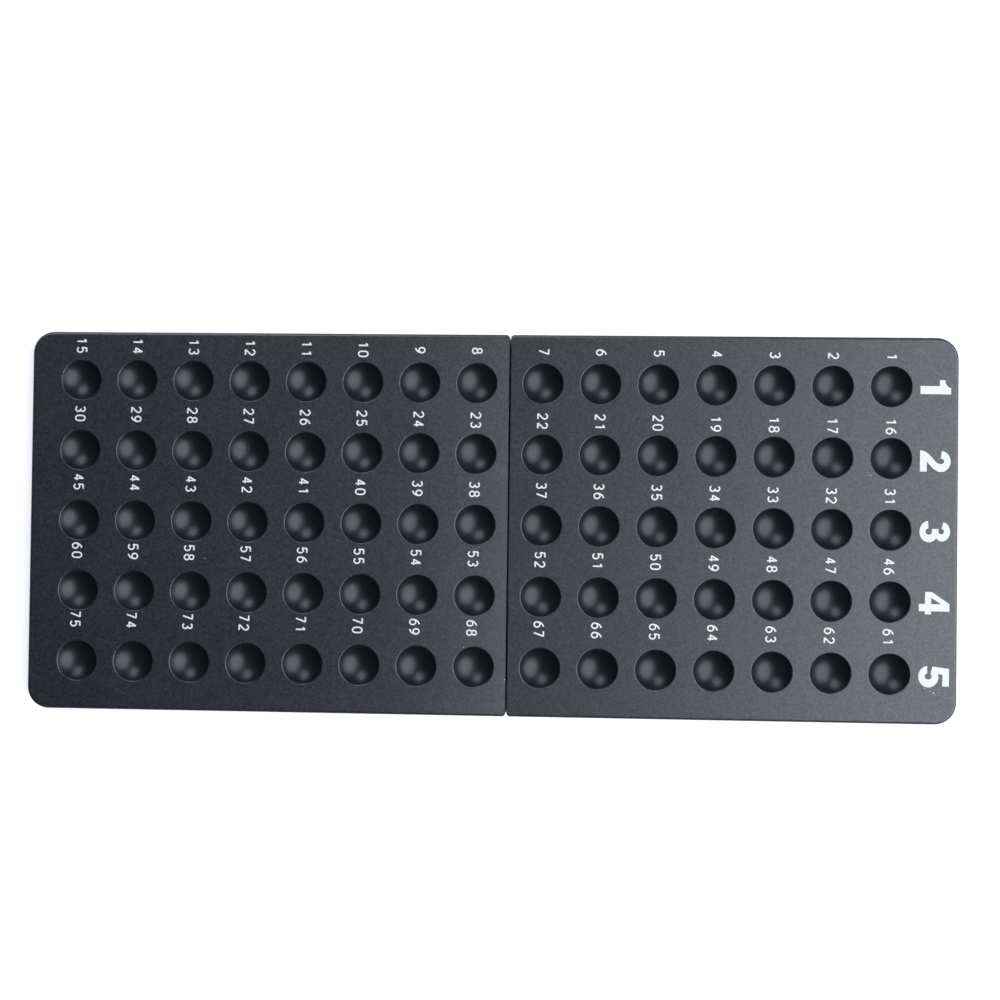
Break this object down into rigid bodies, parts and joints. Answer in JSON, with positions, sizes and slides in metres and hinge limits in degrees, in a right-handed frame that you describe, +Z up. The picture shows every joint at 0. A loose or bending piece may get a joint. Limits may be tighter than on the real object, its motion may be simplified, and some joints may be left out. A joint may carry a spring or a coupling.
{
  "type": "bingo master board",
  "caption": "Folding black plastic master board for bingo: two hinged trays with a numbered round pocket for every drawn ball and a strip for the row headers.",
  "frame": {"origin": "middle of the open board's base, on the surface that it stands on", "axes": "+X along the board towards the header strip, +Y across the board towards the back, +Z up out of the pockets"},
  "size_m": [0.4112, 0.169, 0.012],
  "materials": {
    "black_plastic": "satin",
    "pin_steel": "satin",
    "white_ink": "matte"
  },
  "bodies": {
    "lower_half": {"lower_tray": "black_plastic", "hinge_pin_back": "pin_steel", "hinge_pin_front": "pin_steel"},
    "header_half": {"header_tray": "black_plastic"}
  },
  "joints": [
    {"name": "fold_hinge", "type": "hinge", "parent": "lower_half", "child": "header_half", "pos_m": [0.00925, 0, 0.002], "axis": [0, 1, 0], "range_deg": [0, 180]}
  ]
}
